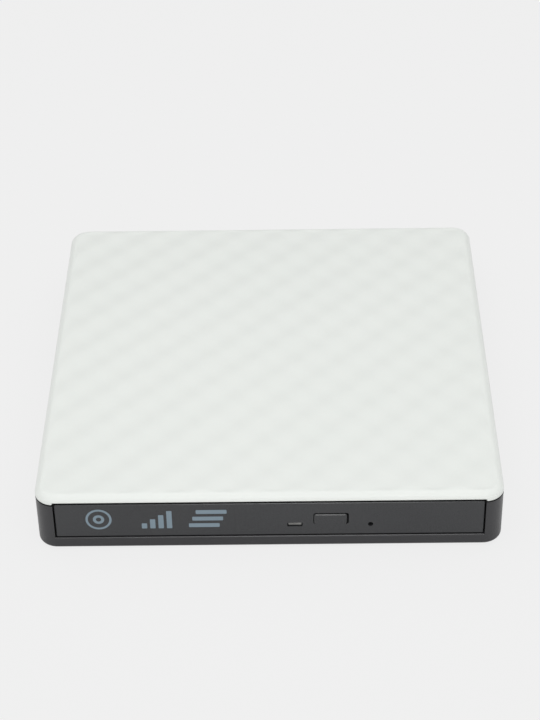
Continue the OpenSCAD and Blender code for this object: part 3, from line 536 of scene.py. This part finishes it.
@dataclass
class QuiltedLid:
    """Pale lid with rounded edges and a relief of crossing waves.

    Each wave has its radians per metre across and along the lid, and its phase.
    """

    half_w: float = HALF_W
    half_d: float = HALF_D
    corner_r: float = CORNER_R
    low_z: float = SEAM_Z + 0.45 * MM
    notch_z: float = SEAM_Z + 1.16 * MM
    notch_half: float = BEZEL_HIGH.x + 0.8 * MM
    notch_step: float = 0.04 * MM
    front_band: float = 0.5 * MM
    top_z: float = TOP_Z
    ceiling_z: float = TOP_Z - 1.8 * MM
    wall: float = 1.8 * MM
    skirt_bevel: float = 0.15 * MM
    skirt_share: float = 0.3
    edge_r: float = 2.0 * MM
    edge_bow: float = 1.5
    edge_steps: int = 8
    fade: Pair = (-0.2 * MM, 1.3 * MM)
    fade_lines: tuple[float, ...] = (0.35 * MM, 0.75 * MM, 1.2 * MM, 1.8 * MM)
    amp: float = 0.25 * MM
    wave_a: Point = (409.4, -398.3, -0.61)
    wave_b: Point = (495.2, 485.5, -0.26)
    share_a: float = 0.69
    step: float = 1.15 * MM

    def wave(self, x: float, y: float) -> float:
        """Return the relief, from -1 to 1, of the two wave families."""
        a, b = (math.cos(kx * x + ky * y + phase) for kx, ky, phase in (self.wave_a, self.wave_b))
        return self.share_a * a + (1.0 - self.share_a) * b

    def rounded(self, x: float, y: float) -> Point:
        """Map a point of the square plan to the plan with round corners.

        Args:
            x: place across.
            y: place along.

        Returns:
            The mapped place and its distance in from the outline.
        """
        inset = min(self.half_w - abs(x), self.half_d - abs(y))
        r = max(self.corner_r - inset, 0.0)
        w, d = self.half_w - inset, self.half_d - inset
        ax, ay = abs(x), abs(y)
        if r > 0.0:
            if self.half_d - ay <= self.half_w - ax and ax > w - r:
                t = HALF_CORNER * (ax - (w - r)) / r
                ax, ay = w - r + r * math.sin(t), d - r + r * math.cos(t)
            elif self.half_w - ax < self.half_d - ay and ay > d - r:
                t = HALF_CORNER * (ay - (d - r)) / r
                ax, ay = w - r + r * math.cos(t), d - r + r * math.sin(t)
        return math.copysign(ax, x), math.copysign(ay, y), inset

    def ticks(self, half: float) -> list[float]:
        """Set out the grid lines in one direction, close together over the rounded edge.

        Args:
            half: half of the lid's size in that direction.

        Returns:
            Places from -half to half.
        """
        turns = [math.radians(90.0 * i / self.edge_steps) for i in range(self.edge_steps + 1)]
        power = 2.0 / self.edge_bow
        insets = [self.edge_r * (1.0 - max(math.cos(a), 0.0) ** power) for a in turns]
        insets += [self.edge_r + line for line in self.fade_lines]
        inner = half - insets[-1]
        count = round(2.0 * inner / self.step)
        middle = [-inner + 2.0 * inner * i / count for i in range(1, count)]
        return [-half + i for i in insets] + middle + [half - i for i in reversed(insets)]

    def height(self, x: float, y: float, inset: float) -> float:
        """Find the height of the outer face.

        Args:
            x: place across.
            y: place along.
            inset: distance in from the outline.

        Returns:
            The height at that place.
        """
        run = max(1.0 - inset / self.edge_r, 0.0)
        rise = max(1.0 - run ** self.edge_bow, 0.0) ** (1.0 / self.edge_bow)
        fade = smoothstep(self.edge_r + self.fade[0], self.edge_r + self.fade[1], inset)
        relief = self.amp * (self.wave(x, y) * fade - 1.0)
        return self.top_z - self.edge_r * (1.0 - rise) + relief

    def build(self) -> None:
        """Make the lid: top, rounded edge, skirt with its notch, and the inside."""
        ends = [side * (self.notch_half + step) for side in (-1.0, 1.0)
                for step in (-self.notch_step, self.notch_step)]
        xs, ys = sorted(self.ticks(self.half_w) + ends), self.ticks(self.half_d)
        nx, ny = len(xs), len(ys)
        points: list[Point] = []
        for px, py, inset in (self.rounded(x, y) for y in ys for x in xs):
            points.append((px, py, self.height(px, py, inset)))
        faces = grid_faces(ny, nx)
        rim = list(range(nx)) + [j * nx + nx - 1 for j in range(1, ny)]
        rim += [(ny - 1) * nx + i for i in range(nx - 2, -1, -1)]
        rim += [j * nx for j in range(ny - 2, 0, -1)]
        bevel, part = self.skirt_bevel, self.skirt_share * self.skirt_bevel
        ring = rim
        for inset, lift in ((0.0, bevel), (part, part), (bevel, 0.0), (self.wall, 0.0),
                            (self.wall, None)):
            ring = self._ring_below(points, faces, rim, ring, inset, lift)
        faces.append(list(reversed(ring)))
        piece = mesh_object("quilted_lid", points, faces)
        sharpen(piece, LID_CREASE)
        place(piece, "case", LID_WHITE, "top_cover")

    def _ring_below(self, points: list[Point], faces: list[list[int]], rim: list[int],
                    ring: list[int], inset: float, lift: float | None) -> list[int]:
        """Add a ring of corners joined to the last ring.

        Args:
            points: corners so far, extended here.
            faces: faces so far, extended here.
            rim: corners of the outline.
            ring: last ring added.
            inset: distance in from the outline.
            lift: height above the lower edge, or None for the ceiling.

        Returns:
            The new ring.
        """
        sx, sy = (self.half_w - inset) / self.half_w, (self.half_d - inset) / self.half_d
        fresh: list[int] = []
        for index in rim:
            x, y, _ = points[index]
            notched = y < -self.half_d + self.front_band and abs(x) < self.notch_half
            edge = self.notch_z if notched else self.low_z
            z = self.ceiling_z if lift is None else edge + lift
            fresh.append(len(points))
            points.append((x * sx, y * sy, z))
        count = len(rim)
        for k in range(count):
            after = (k + 1) % count
            faces.append([ring[k], ring[after], fresh[after], fresh[k]])
        return fresh


@dataclass
class SeamShadeTongue:
    """Tongue of the case in the open seam under the lid, coloured near-black as painted shade in
    the seam.
    """

    half_w: float = HALF_W
    half_d: float = HALF_D
    corner_r: float = CORNER_R
    inset: float = 0.15 * MM
    thick: float = 1.6 * MM
    low_z: float = SEAM_Z - 0.05 * MM
    high_z: float = SEAM_Z + 0.5 * MM
    gap_half: float = BEZEL_HIGH.x + 0.6 * MM
    steps: int = 10

    def path(self, inset: float) -> list[Pair]:
        """Follow the seam from the right pillar, round the back, to the left pillar.

        Args:
            inset: distance in from the outline.

        Returns:
            The points (x, y) of the open line.
        """
        w, d, r = self.half_w - inset, self.half_d - inset, self.corner_r - inset
        centres = ((w - r, r - d), (w - r, d - r), (r - w, d - r), (r - w, r - d))
        line = [(self.gap_half, -d)]
        for k, (cx, cy) in enumerate(centres):
            for i in range(self.steps + 1):
                a = math.radians(90.0 * (k - 1.0 + i / self.steps))
                line.append((cx + r * math.cos(a), cy + r * math.sin(a)))
        return line + [(-self.gap_half, -d)]

    def build(self) -> None:
        """Make the tongue as a thin wall along the seam."""
        outer, inner = self.path(self.inset), self.path(self.inset + self.thick)
        rows = ((outer, self.low_z), (outer, self.high_z), (inner, self.high_z),
                (inner, self.low_z))
        points = [(x, y, z) for line, z in rows for x, y in line]
        n, sides = len(outer), len(rows)
        faces: list[list[int]] = []
        for k in range(sides):
            here, there = k * n, (k + 1) % sides * n
            faces += [[here + i, here + i + 1, there + i + 1, there + i] for i in range(n - 1)]
        faces += [[k * n + end for k in range(sides)] for end in (0, n - 1)]
        piece = mesh_object("seam_shade_tongue", points, faces)
        sharpen(piece, TONGUE_CREASE)
        # Painted shade: the near-black tongue darkens the seam under the lid as its shade would.
        place(piece, "case", FELT_AND_SHADE_BLACK)


@dataclass(frozen=True)
class Outline:
    """Rounded rectangle in the plane of a panel, or a circle where the radius equals both halves.

    A front edge cuts into the panel round it: in full at the outside, by low_share of that along
    the lower side, and by hole_share of it round a hole.
    """

    x: float
    z: float
    half_w: float
    half_h: float
    r: float
    hole: bool = False
    steps: int = 6
    low_share: float = 1.0
    hole_share: float = 0.2
    least_r: float = 0.02 * MM

    @classmethod
    def disc(cls, x: float, z: float, r: float, steps: int, hole: bool = False) -> "Outline":
        """Return a circle."""
        return cls(x, z, r, r, r, hole, steps)

    @classmethod
    def band(cls, low_z: float, high_z: float, half_w: float, r: float, hole: bool = False,
             low_share: float = 1.0) -> "Outline":
        """Return a rounded rectangle between two heights, on the middle of the part."""
        return cls(0.0, (low_z + high_z) / 2.0, half_w, (high_z - low_z) / 2.0, r, hole,
                   low_share=low_share)

    def inside(self, shift: Pair, trim: Pair, r: float, low_share: float = 1.0) -> "Outline":
        """Return a filled outline, moved by shift and smaller by trim on each side."""
        return Outline(self.x + shift[0], self.z + shift[1], self.half_w - trim[0],
                       self.half_h - trim[1], r, low_share=low_share)

    def ring(self, inset: float) -> list[Pair]:
        """Move the outline into the material.

        Args:
            inset: distance from the stated outline.

        Returns:
            Points (x, z), always the same number.
        """
        s = -inset * self.hole_share if self.hole else inset
        w, h = self.half_w - s, self.half_h - s
        r = min(max(self.r - s, self.least_r), w, h)
        points: list[Pair] = []
        last = self.steps if self.r >= max(self.half_w, self.half_h) else self.steps + 1
        for k, (sx, sz) in enumerate(((1, 1), (-1, 1), (-1, -1), (1, -1))):
            reach = h if sz > 0 else self.half_h - s * self.low_share
            for i in range(last):
                a = math.radians(90.0 * (k + i / self.steps))
                points.append((self.x + sx * (w - r) + r * math.cos(a),
                               self.z + sz * (reach - r) + r * math.sin(a)))
        return points


@dataclass(frozen=True)
class FrontEdge:
    """Rounding of the front edges of a panel, or a chamfer where it has one step."""

    width: float
    depth: float
    steps: int

    def rows(self) -> list[Pair]:
        """Return the inset and the depth of each row of corners, from the front face back."""
        turns = [math.radians(90.0 * k / self.steps) for k in range(self.steps + 1)]
        return [(self.width * (1.0 - math.sin(a)), self.depth * (1.0 - math.cos(a)))
                for a in turns]


SMALL_EDGE = FrontEdge(0.05 * MM, 0.05 * MM, 2)


def panel_object(name: str, outlines: Sequence[Outline], face_y: float, depth: float,
                 edge: FrontEdge | None) -> bpy.types.Object:
    """Make a flat panel that faces -Y, with holes and rounded or chamfered front edges.

    Args:
        name: name of the piece.
        outlines: the outer outline and the holes.
        face_y: place of the front face.
        depth: thickness.
        edge: shape of every front edge, or None for a sharp one.

    Returns:
        The new object.
    """
    bm = bmesh.new()
    rows = (edge.rows() if edge else [(0.0, 0.0)]) + [(0.0, depth)]
    caps: tuple[list[bmesh.types.BMEdge], list[bmesh.types.BMEdge]] = ([], [])
    for outline in outlines:
        rings = [[bm.verts.new((x, face_y + back, z)) for x, z in outline.ring(inset)]
                 for inset, back in rows]
        for low, high in zip(rings, rings[1:]):
            for i in range(len(low)):
                j = (i + 1) % len(low)
                bm.faces.new((low[i], low[j], high[j], high[i])).smooth = True
        for cap, ring in zip(caps, (rings[0], rings[-1])):
            cap += [bm.edges.get(pair) for pair in zip(ring, ring[1:] + ring[:1])]
    for cap in caps:
        filled = bmesh.ops.triangle_fill(bm, edges=cap, use_beauty=True, use_dissolve=False)
        for face in (item for item in filled["geom"] if isinstance(item, bmesh.types.BMFace)):
            face.smooth = False
    bmesh.ops.remove_doubles(bm, verts=bm.verts, dist=PANEL_WELD_GAP)
    bmesh.ops.recalc_face_normals(bm, faces=bm.faces)
    mesh = bpy.data.meshes.new(name)
    bm.to_mesh(mesh)
    bm.free()
    piece = add_object(name, mesh)
    sharpen(piece, PANEL_CREASE)
    return piece


@dataclass
class DustFeltAndShadeStrip:
    """Black felt behind the front wall round the bezel's path, and a near-black strip under the
    notch of the lid that is painted shade in the gap above the bezel.
    """

    half_w: float = BEZEL_HIGH.x + 2.0 * MM
    low_z: float = BEZEL_LOW.z - 1.7 * MM
    high_z: float = SEAM_Z + 1.26 * MM
    corner_r: float = 0.3 * MM
    hole_half: float = BEZEL_HIGH.x + 0.12 * MM
    hole_low: float = BEZEL_LOW.z - 0.12 * MM
    hole_high: float = SEAM_Z + 0.73 * MM
    face_y: float = BEZEL_LOW.y + 1.6 * MM
    depth: float = 0.8 * MM
    notch_half: float = BEZEL_HIGH.x + 0.4 * MM
    notch_low: float = SEAM_Z + 0.42 * MM
    notch_r: float = 0.1 * MM
    notch_y: float = BEZEL_LOW.y + 0.1 * MM
    notch_depth: float = 1.4 * MM

    def build_frame(self) -> None:
        """Make the frame as one panel with a large opening."""
        outer = Outline.band(self.low_z, self.high_z, self.half_w, self.corner_r)
        hole = Outline.band(self.hole_low, self.hole_high, self.hole_half, self.corner_r, hole=True)
        piece = panel_object("dust_strip", [outer, hole], self.face_y, self.depth, SMALL_EDGE)
        place(piece, "case", FELT_AND_SHADE_BLACK)

    def build_notch(self) -> None:
        """Make the strip under the notch of the lid, clear of the bezel, as painted shade in that
        gap.
        """
        strip = Outline.band(self.notch_low, self.high_z, self.notch_half, self.notch_r)
        piece = panel_object("notch_shade_strip", [strip], self.notch_y, self.notch_depth, SMALL_EDGE)
        # Painted shade: the near-black strip darkens the gap between the lid's notch and the bezel.
        place(piece, "case", FELT_AND_SHADE_BLACK)

    def build(self) -> None:
        """Make the dust felt and the painted-shade strip."""
        self.build_frame()
        self.build_notch()


@dataclass
class TrayFront:
    """Bezel of the tray with its openings, its light and the eject button."""

    half_w: float = BEZEL_HIGH.x
    low_z: float = BEZEL_LOW.z
    high_z: float = SEAM_Z + 0.28 * MM
    face_y: float = BEZEL_LOW.y
    depth: float = BEZEL_HIGH.y - BEZEL_LOW.y
    corner_r: float = 0.4 * MM
    chamfer: FrontEdge = FrontEdge(0.18 * MM, 0.155 * MM, 1)
    low_share: float = 0.7
    button_slot: Outline = Outline(18.4 * MM, 11.45 * MM, 5.25 * MM, 2.1 * MM, 0.7 * MM, True)
    light_slot: Outline = Outline(7.6 * MM, 9.18 * MM, 2.26 * MM, 0.70 * MM, 0.3 * MM, True)
    pin_hole: Outline = Outline.disc(30.2 * MM, 9.1 * MM, 0.75 * MM, steps=8, hole=True)
    cap_shift: Pair = (-0.17 * MM, -0.21 * MM)
    cap_gap: Pair = (0.30 * MM, 0.27 * MM)
    cap_r: float = 0.55 * MM
    cap_low_share: float = 0.15
    cap_proud: float = 0.15 * MM
    cap_depth: float = 2.6 * MM
    cap_chamfer: FrontEdge = FrontEdge(0.288 * MM, 0.248 * MM, 1)
    holder_gap: Pair = (0.02 * MM, 0.02 * MM)
    holder_r: float = 0.28 * MM
    holder_back: float = 1.3 * MM
    holder_depth: float = 1.6 * MM
    window_shift: Pair = (0.0, 0.18 * MM)
    window_gap: Pair = (0.22 * MM, 0.26 * MM)
    window_r: float = 0.3 * MM
    window_back: float = 0.08 * MM
    window_depth: float = 1.4 * MM
    window_dome: FrontEdge = FrontEdge(0.25 * MM, 0.25 * MM, 6)

    def build_panel(self) -> None:
        """Make the bezel with its button slot, light slot and pin hole."""
        whole = Outline.band(self.low_z, self.high_z, self.half_w, self.corner_r,
                             low_share=self.low_share)
        outlines = [whole, self.button_slot, self.light_slot, self.pin_hole]
        piece = panel_object("tray_front", outlines, self.face_y, self.depth, self.chamfer)
        place(piece, "tray", BEZEL_CHARCOAL, "tray_bezel")

    def build_light(self) -> None:
        """Make the dark holder of the status light, and its domed bar in the upper part of it."""
        shape = self.light_slot.inside((0.0, 0.0), self.holder_gap, self.holder_r)
        holder = panel_object("light_holder", [shape], self.face_y + self.holder_back,
                              self.holder_depth, SMALL_EDGE)
        place(holder, "tray", HUB_BLACK)
        shape = self.light_slot.inside(self.window_shift, self.window_gap, self.window_r)
        window = panel_object("light_window", [shape], self.face_y + self.window_back,
                              self.window_depth, self.window_dome)
        place(window, "tray", LIGHT_BAR, "activity_lens")

    def build_button(self) -> None:
        """Make the cap of the eject button, with round upper corners and soft edges."""
        shape = self.button_slot.inside(self.cap_shift, self.cap_gap, self.cap_r,
                                        self.cap_low_share)
        piece = panel_object("button_cap", [shape], self.face_y - self.cap_proud, self.cap_depth,
                             self.cap_chamfer)
        place(piece, "button", BEZEL_CHARCOAL, "eject_button")

    def build(self) -> None:
        """Make the bezel and what sits in it."""
        self.build_panel()
        self.build_light()
        self.build_button()


@dataclass
class PrintedMarks:
    """Row of plain pictograms on the bezel: a disc, a meter and a stack of sheets."""

    face_y: float = BEZEL_LOW.y
    middle_z: float = BEZEL_LOW.z + 6.6 * MM
    ink: float = 0.02 * MM
    disc_x: float = -51.0 * MM
    ring_r: Pair = (3.9 * MM, 3.2 * MM)
    ring_steps: int = 14
    hub_r: Pair = (1.7 * MM, 0.8 * MM)
    hub_steps: int = 10
    meter_x: float = -37.4 * MM
    meter_pitch: float = 2.5 * MM
    meter_drop: float = 3.7 * MM
    meter_heights: tuple[float, ...] = (2.0 * MM, 3.6 * MM, 5.2 * MM, 6.8 * MM)
    meter_half: float = 0.8 * MM
    meter_r: float = 0.25 * MM
    sheet_x: float = -18.4 * MM
    sheet_shifts: tuple[int, ...] = (-1, 0, 1)
    sheet_pitch: Pair = (1.1 * MM, 2.6 * MM)
    sheet_half: Pair = (4.6 * MM, 0.75 * MM)
    sheet_r: float = 0.3 * MM

    def print_mark(self, name: str, *outlines: Outline) -> None:
        """Print one flat shape on the bezel."""
        piece = panel_object(name, outlines, self.face_y - self.ink, self.ink, None)
        place(piece, "tray", PRINT_GREY)

    def print_ring(self, name: str, radii: Pair, steps: int) -> None:
        """Print a ring of the disc, from its outer to its inner radius."""
        self.print_mark(name, Outline.disc(self.disc_x, self.middle_z, radii[0], steps),
                        Outline.disc(self.disc_x, self.middle_z, radii[1], steps, hole=True))

    def build(self) -> None:
        """Print the row, from the left to the right."""
        self.print_ring("mark_disc_ring", self.ring_r, self.ring_steps)
        self.print_ring("mark_disc_middle", self.hub_r, self.hub_steps)
        for k, height in enumerate(self.meter_heights):
            x = self.meter_x + self.meter_pitch * k
            z = self.middle_z + height / 2.0 - self.meter_drop
            self.print_mark(f"mark_meter_{k + 1}",
                            Outline(x, z, self.meter_half, height / 2.0, self.meter_r))
        for k, shift in enumerate(self.sheet_shifts):
            x = self.sheet_x + self.sheet_pitch[0] * shift
            z = self.middle_z + self.sheet_pitch[1] * shift
            self.print_mark(f"mark_sheet_{k + 1}", Outline(x, z, *self.sheet_half, self.sheet_r))


@dataclass
class EjectorSpring:
    """Wound wire that pushes the ejector rod."""

    centre: Point = tuple((SPRING_LOW + SPRING_HIGH) / 2.0)
    turns: int = 5
    length: float = 5.5 * MM
    radius: float = 1.65 * MM
    wire: float = 0.25 * MM
    steps: int = 28
    sides: int = 10

    def build(self) -> None:
        """Make one unbroken wire along +Y, in the place of the spring that it stands for."""
        points: list[Point] = []
        faces: list[list[int]] = []
        rings, n = self.turns * self.steps + 1, self.sides
        x0, middle_y, z0 = self.centre
        y0 = middle_y - self.length / 2.0
        for k in range(rings):
            a = 2.0 * math.pi * k / self.steps
            y = y0 + self.length * k / (rings - 1)
            for i in range(n):
                b = 2.0 * math.pi * i / n
                r = self.radius + self.wire * math.cos(b)
                points.append((x0 + r * math.cos(a), y + self.wire * math.sin(b),
                               z0 + r * math.sin(a)))
        for k in range(rings - 1):
            here, there = k * n, (k + 1) * n
            faces += [[here + i, there + i, there + (i + 1) % n, here + (i + 1) % n]
                      for i in range(n)]
        faces += [[end * n + i for i in range(n)] for end in (0, rings - 1)]
        piece = mesh_object("ejector_coil", points, faces)
        paint(piece, SPRING_STEEL)
        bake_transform(piece)
        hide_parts("ejector_spring")


@dataclass
class TrayRibbon:
    """Folded flat cable between the main board and the tray."""

    half_w: float = RIBBON_HIGH.x
    low_z: float = RIBBON_LOW.z
    high_z: float = RIBBON_LOW.z + 0.74 * MM
    thick: float = 0.12 * MM
    rear_y: float = RIBBON_HIGH.y
    tray_y: float = RIBBON_HIGH.y - 8.5 * MM
    fold_y: float = RIBBON_LOW.y + 0.37 * MM
    leg_steps: int = 12
    fold_steps: int = 12
    columns: tuple[float, ...] = (-1.0, -0.5, 0.0, 0.5, 1.0)

    def profile(self) -> list[Pair]:
        """Trace the middle line of the cable: lower leg, fold and upper leg.

        Returns:
            The points (y, z) of the line.
        """
        low, high = self.low_z + self.thick / 2.0, self.high_z - self.thick / 2.0
        r = (high - low) / 2.0
        shares = [i / self.leg_steps for i in range(self.leg_steps + 1)]
        turns = [math.pi * i / self.fold_steps for i in range(1, self.fold_steps)]
        line = [(self.rear_y + (self.fold_y - self.rear_y) * share, low) for share in shares]
        line += [(self.fold_y - r * math.sin(a), low + r - r * math.cos(a)) for a in turns]
        line += [(self.fold_y + (self.tray_y - self.fold_y) * share, high) for share in shares]
        return line

    def build(self) -> None:
        """Make the cable as one still film, with a lower leg, a fold and an upper leg."""
        line = self.profile()
        points = [(self.half_w * column, y, z) for y, z in line for column in self.columns]
        piece = mesh_object("flat_cable", points, grid_faces(len(line), len(self.columns)))
        paint(piece, RIBBON_AMBER)
        film = piece.modifiers.new("film", "SOLIDIFY")
        film.thickness = self.thick
        film.offset = 0.0
        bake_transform(piece)
        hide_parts("tray_ribbon")


# Stage


@dataclass(frozen=True)
class SoftBox:
    """One lamp: its place, the point that it faces, its size in metres and its power."""

    name: str
    at: Point
    aim: Point
    size: Pair
    watts: float

    def hang(self) -> None:
        """Put the lamp into the scene."""
        data = bpy.data.lights.new(self.name, "AREA")
        data.shape = "RECTANGLE"
        data.size, data.size_y = self.size
        data.energy = self.watts
        lamp = add_object(self.name, data)
        lamp.location = self.at
        lamp.rotation_mode = "QUATERNION"
        lamp.rotation_quaternion = (Vector(self.aim) - Vector(self.at)).to_track_quat("-Z", "Y")


@dataclass
class Studio:
    """Floor, lamps, world and camera, with lengths in metres and angles in radians."""

    paper: Colour = (0.868, 0.868, 0.868)
    floor_half: float = 6.0
    window_half: Pair = (0.067, 0.0695)
    floor_glow: float = 0.93
    mirrored_glow: float = 0.2
    fill: float = 0.69
    dim_band: Pair = (0.42, 0.60)
    dim_level: float = 0.5
    camera_at: Point = (0.00753, -0.51646, 0.40509)
    yaw: float = -0.0145
    pitch: float = 0.6451
    roll: float = -0.0192
    lens: float = 99.17
    sensor: float = 36.0
    clip: Pair = (0.01, 50.0)
    lamps: tuple[SoftBox, ...] = (
        SoftBox("overhead", (0.0, -0.12, 0.58), (0.0, -0.03, 0.0), (0.60, 0.60), 1.17),
        SoftBox("front_card", (0.0, -1.2, 0.14), (0.0, -0.07, 0.01), (0.80, 0.20), 0.85),
        SoftBox("front", (0.02, -1.0, 0.80), (0.0, 0.0, 0.01), (0.30, 0.20), 1.35),
    )

    def build_camera(self) -> None:
        """Set the camera at the photograph's viewpoint."""
        data = bpy.data.cameras.new("camera")
        data.lens = self.lens
        data.sensor_width = self.sensor
        data.sensor_fit = "AUTO"
        data.clip_start, data.clip_end = self.clip
        level = math.cos(self.pitch)
        ahead = Vector((math.sin(self.yaw) * level, math.cos(self.yaw) * level,
                        -math.sin(self.pitch)))
        right = Vector((math.cos(self.yaw), -math.sin(self.yaw), 0.0))
        up = right.cross(ahead)
        tilted_right = math.cos(self.roll) * right + math.sin(self.roll) * up
        tilted_up = -math.sin(self.roll) * right + math.cos(self.roll) * up
        turn = Matrix((tilted_right, tilted_up, -ahead)).transposed()
        camera = add_object("camera", data)
        camera.matrix_world = Matrix.Translation(self.camera_at) @ turn.to_4x4()
        bpy.context.scene.camera = camera

    def build_floor(self) -> None:
        """Lay the pale floor, with a window under the case that lets light up into it.

        The floor keeps a faint shadow, and it is clear to a camera below it.
        """
        corners = ((-1, -1), (1, -1), (1, 1), (-1, 1))
        points = [(w * x, d * y, 0.0)
                  for w, d in ((self.floor_half, self.floor_half), self.window_half)
                  for x, y in corners]
        n = len(corners)
        faces = [(k, (k + 1) % n, (k + 1) % n + n, k + n) for k in range(n)]
        floor = mesh_object("floor", points, faces)
        material = bpy.data.materials.new("floor_paper")
        bench = NodeBench.on(material)
        rays = bench.add("ShaderNodeLightPath").outputs
        matt = bench.add("ShaderNodeBsdfDiffuse", {"Color": rgba(self.paper)})
        glow = bench.add("ShaderNodeEmission", {"Color": rgba(self.paper), "Strength": 1.0})
        open_view = bench.math("MAXIMUM", rays["Is Camera Ray"], rays["Is Transmission Ray"])
        seen = bench.math("MULTIPLY", open_view, self.floor_glow)
        mirrored = bench.math("MULTIPLY", rays["Is Glossy Ray"], self.mirrored_glow)
        paper = bench.mix(bench.math("MAXIMUM", seen, mirrored), matt, glow)
        back = bench.add("ShaderNodeNewGeometry").outputs["Backfacing"]
        below = bench.math("MULTIPLY", rays["Is Camera Ray"], back)
        whole = bench.mix(below, paper, bench.add("ShaderNodeBsdfTransparent"))
        bench.add("ShaderNodeOutputMaterial", {"Surface": whole.outputs[0]})
        floor.data.materials.append(material)

    def build_world(self) -> None:
        """Set even light all round, and a pale backdrop that is dimmer low down in reflections."""
        world = bpy.data.worlds.new("studio")
        bpy.context.scene.world = world
        bench = NodeBench.on(world)
        rays = bench.add("ShaderNodeLightPath").outputs
        fill = bench.add("ShaderNodeBackground", {"Color": (1.0, 1.0, 1.0, 1.0),
                                                  "Strength": self.fill})
        where = bench.add("ShaderNodeTexCoord")
        axes = bench.add("ShaderNodeSeparateXYZ", {"Vector": where.outputs["Generated"]})
        rise = bench.add("ShaderNodeMapRange", {
            "Value": axes.outputs["Z"], "From Min": self.dim_band[0],
            "From Max": self.dim_band[1], "To Min": self.dim_level, "To Max": 1.0})
        level = bench.math("MAXIMUM", rays["Is Camera Ray"], rise.outputs["Result"])
        backdrop = bench.add("ShaderNodeBackground", {"Color": rgba(self.paper),
                                                      "Strength": level})
        seen = bench.math("MAXIMUM", rays["Is Camera Ray"], rays["Is Glossy Ray"])
        shown = bench.math("MAXIMUM", seen, rays["Is Transmission Ray"])
        sky = bench.mix(shown, fill, backdrop)
        bench.add("ShaderNodeOutputWorld", {"Surface": sky.outputs[0]})

    def build(self) -> None:
        """Set up the whole studio."""
        self.build_camera()
        self.build_floor()
        self.build_world()
        for lamp in self.lamps:
            lamp.hang()
        bpy.context.scene.view_settings.view_transform = "Standard"


def main() -> None:
    """Build the studio and every piece, in order."""
    logging.basicConfig(level=logging.INFO, format="%(message)s")
    Studio().build()
    for dressing in NODE_DRESS:
        dressing.apply()
    QuiltedLid().build()
    SeamShadeTongue().build()
    DustFeltAndShadeStrip().build()
    TrayFront().build()
    PrintedMarks().build()
    EjectorSpring().build()
    TrayRibbon().build()


if __name__ == "__main__":
    main()
